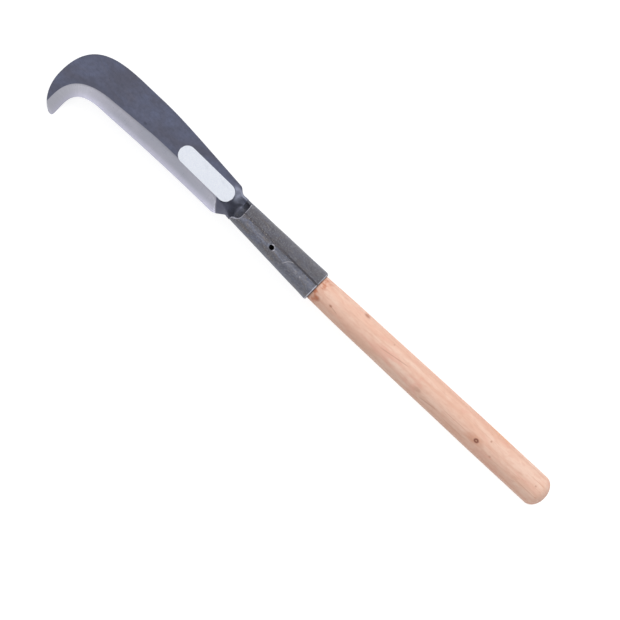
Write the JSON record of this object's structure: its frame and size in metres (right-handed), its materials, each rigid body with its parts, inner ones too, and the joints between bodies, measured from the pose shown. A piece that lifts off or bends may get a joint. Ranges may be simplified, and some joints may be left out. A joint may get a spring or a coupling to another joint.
{
  "type": "hand sickle",
  "caption": "Billhook-shaped hand sickle: a hooked steel blade with a one-sided ground bevel and a rolled conical socket, driven onto a straight round wooden handle.",
  "frame": {"origin": "the middle of the straight grip, on the handle's axis", "axes": "+X along the handle towards the blade, +Y the cutting side where the edge and the hook's tip are, +Z the side with the bevel, the socket's seam and the label"},
  "size_m": [0.58, 0.0782, 0.0316],
  "materials": {
    "blade_steel": "dark blue-grey oxide over forged steel, with a satin ground bevel",
    "ground_steel": "satin ground, with fine grinding marks across the edge",
    "socket_steel": "grey forge scale with blue and brown mottling over rolled steel",
    "weld_scale": "rough dark weld scale",
    "handle_wood": "bare sanded light hardwood, with a few knots and flecks",
    "label_paper": "glossy white sticker, left blank"
  },
  "bodies": {
    "root": {"blade": "blade_steel", "edge_steel": "ground_steel", "socket": "socket_steel", "socket_weld": "weld_scale", "handle": "handle_wood", "label": "label_paper"}
  },
  "joints": []
}
